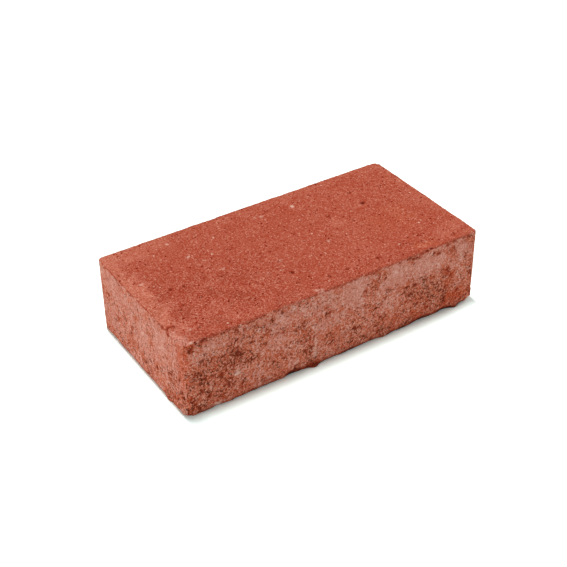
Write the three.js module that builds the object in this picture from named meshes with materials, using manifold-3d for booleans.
// A rectangular concrete paving stone, pressed in a steel mould: a flat wearing face, four
// upright sides, a flat bed, and the burrs, nicks and breaks that such a block carries.
// Millimetres, +Z up. The origin is at the middle of the bed, X along the length, and the
// side that faces -Y is called the front.

import * as THREE from "three";
import { mergeVertices } from "three/addons/utils/BufferGeometryUtils.js";
import Module from "manifold-3d";

const wasm = await Module();
wasm.setup();

// Block
const length = 200;
const width = 100;
const thickness = 50;

// The mould's upright corners, the one at the front left that handling has worn rounder, and the
// eased edges of the two flat faces
const cornerRadius = 2;
const wornCornerRadius = 5;
const topArris = 1.3;
const bedArris = 0.5;

// The foot is the lowest band of the sides, where paste squeezed out under the mould box left
// burrs. They fade into the plain side at this height.
const footHeight = 5;

// How finely the form is walked, and how near two vertices are one
const wallPitch = 3;
const cornerSteps = 5;
const arrisSteps = 3;
const footSteps = 2;
const fracturePitch = 1.5;
const scoopDetail = 5;
const weldDistance = 1e-4;

// Burrs (out is positive) and nicks (out is negative) of each side's foot. `at` is measured from
// the side's left end as seen from outside, and `run` is the mark's whole length.
const frontFoot = [
  { at: 19, out: -0.8, run: 8 },
  { at: 27, out: 0.5, run: 10 },
  { at: 67, out: -0.7, run: 12 },
  { at: 83, out: 1.0, run: 20 },
  { at: 83, out: 1.8, run: 9 },
  { at: 104, out: 0.8, run: 26 },
  { at: 121, out: -0.5, run: 8 },
  { at: 133, out: 1.3, run: 14 },
  { at: 146, out: 0.7, run: 24 },
  { at: 160, out: -0.6, run: 9 },
  { at: 177, out: -1.0, run: 10 },
  { at: 186, out: 2.4, run: 11 },
];
const rightFoot = [
  { at: 22, out: 1.0, run: 18 },
  { at: 48, out: -0.9, run: 14 },
  { at: 74, out: 0.6, run: 20 },
];
const backFoot = [
  { at: 30, out: 0.7, run: 18 },
  { at: 62, out: -1.0, run: 12 },
  { at: 104, out: 2.3, run: 22 },
  { at: 140, out: -0.6, run: 16 },
  { at: 172, out: 0.8, run: 14 },
];
const leftFoot = [
  { at: 14, out: -1.8, run: 26 },
  { at: 34, out: -0.9, run: 26 },
  { at: 80, out: 0.9, run: 12 },
  { at: 92, out: -0.8, run: 10 },
];

// A corner break takes the sharp corner off along a rough plane. `corner` says which corner, and
// `cut` how far the break runs from it along X, Y and Z.
const cornerBreaks = [
  { corner: [-1, -1, 1], cut: [9, 20, 2.4] },
  { corner: [1, -1, -1], cut: [9.5, 5, 3] },
  { corner: [-1, -1, -1], cut: [5, 5, 1.4] },
  { corner: [1, 1, 1], cut: [5, 4, 1.8] },
];

// A chip is a scoop out of an arris. `edge` holds the side of X, Y and Z that the arris lies on,
// with 0 for the direction it runs in, `at` is the distance along it from its middle, and the
// scoop is `run` long, reaches `back` into the face and `down` into the side.
const arrisChips = [
  { edge: [-1, 0, 1], at: -27.5, run: 4, back: 1.1, down: 2.4 },
  { edge: [-1, 0, 1], at: -33.2, run: 4.4, back: 1.4, down: 2.8 },
  { edge: [0, -1, 1], at: -87.8, run: 6, back: 1.0, down: 2.0 },
  { edge: [0, 1, 1], at: -24, run: 8, back: 1.2, down: 1.7 },
  { edge: [1, 0, -1], at: 14, run: 9, back: 1.3, down: 1.6 },
];

// How much a break's surface rises and falls about its plane, and how far a cutter's slab
// reaches past the break, as a share of the longest cut
const fractureRelief = 0.45;
const chipRelief = 0.22;
const slabReach = 2.4;

const concrete = new THREE.MeshStandardMaterial({
  color: 0xb0634c,
  roughness: 0.95,
  metalness: 0,
});

const half = new THREE.Vector3(length / 2, width / 2, thickness / 2);

// The four sides, anticlockwise from above. Each starts at its left end as seen from outside, and
// `radii` are the upright corners at its left and right ends.
const plainRadii = [cornerRadius, cornerRadius];
const sides = [
  { start: [-1, -1], along: [1, 0], size: length, foot: frontFoot, radii: [wornCornerRadius, cornerRadius] },
  { start: [1, -1], along: [0, 1], size: width, foot: rightFoot, radii: plainRadii },
  { start: [1, 1], along: [-1, 0], size: length, foot: backFoot, radii: plainRadii },
  { start: [-1, 1], along: [0, -1], size: width, foot: leftFoot, radii: [cornerRadius, wornCornerRadius] },
];

// A smooth hump, 1 in the middle and 0 at both ends of its run.
function hump(distance, run) {
  const share = Math.abs(distance) / (run / 2);
  return share < 1 ? Math.cos((share * Math.PI) / 2) ** 2 : 0;
}

// How far the foot stands out of the plain side, at a distance from the side's left end.
function footOut(side, distance) {
  return side.foot.reduce((sum, mark) => sum + mark.out * hump(distance - mark.at, mark.run), 0);
}

// One side's stretch of the outline and the rounded corner after it, as stations: a point in
// plan, the outward direction there, and how far the foot stands out.
function stationsOfSide(side) {
  const along = new THREE.Vector2(...side.along);
  const outward = new THREE.Vector2(along.y, -along.x);
  const corner = new THREE.Vector2(side.start[0] * half.x, side.start[1] * half.y);
  const [leftRadius, rightRadius] = side.radii;
  const straight = side.size - leftRadius - rightRadius;
  const steps = Math.ceil(straight / wallPitch);
  const stations = [];
  for (let i = 0; i <= steps; i++) {
    const distance = leftRadius + (straight * i) / steps;
    stations.push({
      point: corner.clone().addScaledVector(along, distance),
      outward,
      foot: footOut(side, distance),
    });
  }
  const centre = corner
    .clone()
    .addScaledVector(along, side.size - rightRadius)
    .addScaledVector(outward, -rightRadius);
  for (let i = 1; i < cornerSteps; i++) {
    const turned = outward.clone().rotateAround(new THREE.Vector2(), (Math.PI / 2) * (i / cornerSteps));
    stations.push({
      point: centre.clone().addScaledVector(turned, rightRadius),
      outward: turned,
      foot: 0,
    });
  }
  return stations;
}

// The upright section at a station, from the bed up to the wearing face, as pairs of how far
// out of the plain side and how high. A nick is a wider bed arris, and a burr stands out.
function sectionAt(station) {
  const arris = bedArris + Math.max(-station.foot, 0);
  const burr = Math.max(station.foot, 0);
  const section = [];
  for (let i = 0; i <= arrisSteps; i++) {
    const turn = (Math.PI / 2) * (i / arrisSteps);
    section.push([burr - arris * (1 - Math.sin(turn)), arris * (1 - Math.cos(turn))]);
  }
  for (let i = 1; i <= footSteps; i++) {
    const share = i / footSteps;
    section.push([burr * (1 - share) ** 2, arris + (footHeight - arris) * share]);
  }
  for (let i = 0; i <= arrisSteps; i++) {
    const turn = (Math.PI / 2) * (i / arrisSteps);
    section.push([-topArris * (1 - Math.cos(turn)), thickness - topArris * (1 - Math.sin(turn))]);
  }
  return section;
}

// The block as moulded: its section lofted round the outline and closed by two flat faces.
function mouldedBlock() {
  const stations = sides.flatMap(stationsOfSide);
  const sections = stations.map(sectionAt);
  const levels = sections[0].length;
  const positions = [];
  stations.forEach(({ point, outward }, i) => {
    for (const [out, height] of sections[i]) {
      positions.push(point.x + outward.x * out, point.y + outward.y * out, height);
    }
  });
  const bedCentre = positions.length / 3;
  const faceCentre = bedCentre + 1;
  positions.push(0, 0, 0, 0, 0, thickness);
  const triangles = [];
  for (let i = 0; i < stations.length; i++) {
    const here = i * levels;
    const next = ((i + 1) % stations.length) * levels;
    for (let k = 0; k < levels - 1; k++) {
      triangles.push(here + k, next + k, next + k + 1, here + k, next + k + 1, here + k + 1);
    }
    triangles.push(bedCentre, next, here);
    triangles.push(faceCentre, here + levels - 1, next + levels - 1);
  }
  const geometry = new THREE.BufferGeometry();
  geometry.setAttribute("position", new THREE.Float32BufferAttribute(positions, 3));
  geometry.setIndex(triangles);
  return geometry;
}

// Repeatable unevenness from -1 to 1 at a place, for the surfaces of breaks: three waves that
// cross, each given by its radians per millimetre along X, Y and Z.
function unevenness(place) {
  const waves = [
    [0.5, 0.8, 0.3],
    [-1.0, 0.4, 0.7],
    [0.3, -0.6, 1.3],
  ].map(([x, y, z]) => Math.sin(place.x * x + place.y * y + place.z * z));
  return (waves[0] + waves[1] + waves[2]) / waves.length;
}

// A slab that takes off everything outside a rough plane through three points on the edges.
function cornerCutter({ corner, cut }) {
  const sharp = new THREE.Vector3(corner[0] * half.x, corner[1] * half.y, corner[2] > 0 ? thickness : 0);
  const normal = new THREE.Vector3(corner[0] / cut[0], corner[1] / cut[1], corner[2] / cut[2]);
  const depth = 1 / normal.length();
  normal.normalize();
  const reach = slabReach * Math.max(...cut);
  const steps = Math.ceil(reach / fracturePitch);
  const slab = new THREE.BoxGeometry(reach, reach, 2 * depth, steps, steps, 1);
  slab.translate(0, 0, depth);
  const turn = new THREE.Quaternion().setFromUnitVectors(new THREE.Vector3(0, 0, 1), normal);
  const middle = sharp.clone().addScaledVector(normal, -depth);
  return roughened(slab, fractureRelief, (vertex) => vertex.z < depth)
    .applyQuaternion(turn)
    .translate(middle.x, middle.y, middle.z);
}

// A rough ellipsoid centred on the arris, as long as the chip and reaching into both faces.
function chipCutter({ edge, at, run, back, down }) {
  const runsAlongX = edge[0] === 0;
  const centre = new THREE.Vector3(
    runsAlongX ? at : edge[0] * half.x,
    runsAlongX ? edge[1] * half.y : at,
    edge[2] > 0 ? thickness : 0,
  );
  const scoop = new THREE.IcosahedronGeometry(1, scoopDetail);
  scoop.scale(runsAlongX ? run / 2 : back, runsAlongX ? back : run / 2, down);
  return roughened(scoop, chipRelief, () => true).translate(centre.x, centre.y, centre.z);
}

// Moves a cutter's vertices along their own normals by the unevenness, where `applies` says so.
function roughened(geometry, relief, applies) {
  const shell = welded(geometry);
  shell.computeVertexNormals();
  const { position, normal } = shell.attributes;
  const vertex = new THREE.Vector3();
  const direction = new THREE.Vector3();
  for (let i = 0; i < position.count; i++) {
    vertex.fromBufferAttribute(position, i);
    if (applies(vertex)) {
      direction.fromBufferAttribute(normal, i);
      vertex.addScaledVector(direction, relief * unevenness(vertex));
      position.setXYZ(i, vertex.x, vertex.y, vertex.z);
    }
  }
  return shell;
}

// A geometry with its shared vertices merged and only its positions left.
function welded(geometry) {
  const bare = geometry.clone();
  bare.deleteAttribute("normal");
  bare.deleteAttribute("uv");
  return mergeVertices(bare, weldDistance);
}

function toSolid(geometry) {
  const shell = welded(geometry);
  return new wasm.Manifold(
    new wasm.Mesh({
      numProp: 3,
      vertProperties: new Float32Array(shell.attributes.position.array),
      triVerts: new Uint32Array(shell.index.array),
    }),
  );
}

function toGeometry(solid) {
  const mesh = solid.getMesh();
  const geometry = new THREE.BufferGeometry();
  geometry.setAttribute("position", new THREE.Float32BufferAttribute(mesh.vertProperties, 3));
  geometry.setIndex(new THREE.Uint32BufferAttribute(mesh.triVerts, 1));
  geometry.computeVertexNormals();
  return geometry;
}

// The moulded block less its corner breaks and chips.
function pavingStone() {
  let solid = toSolid(mouldedBlock());
  for (const cutter of [...cornerBreaks.map(cornerCutter), ...arrisChips.map(chipCutter)]) {
    solid = solid.subtract(toSolid(cutter));
  }
  const mesh = new THREE.Mesh(toGeometry(solid), concrete);
  mesh.name = "paving_stone";
  return mesh;
}

const model = new THREE.Group();
model.add(pavingStone());

export default model;
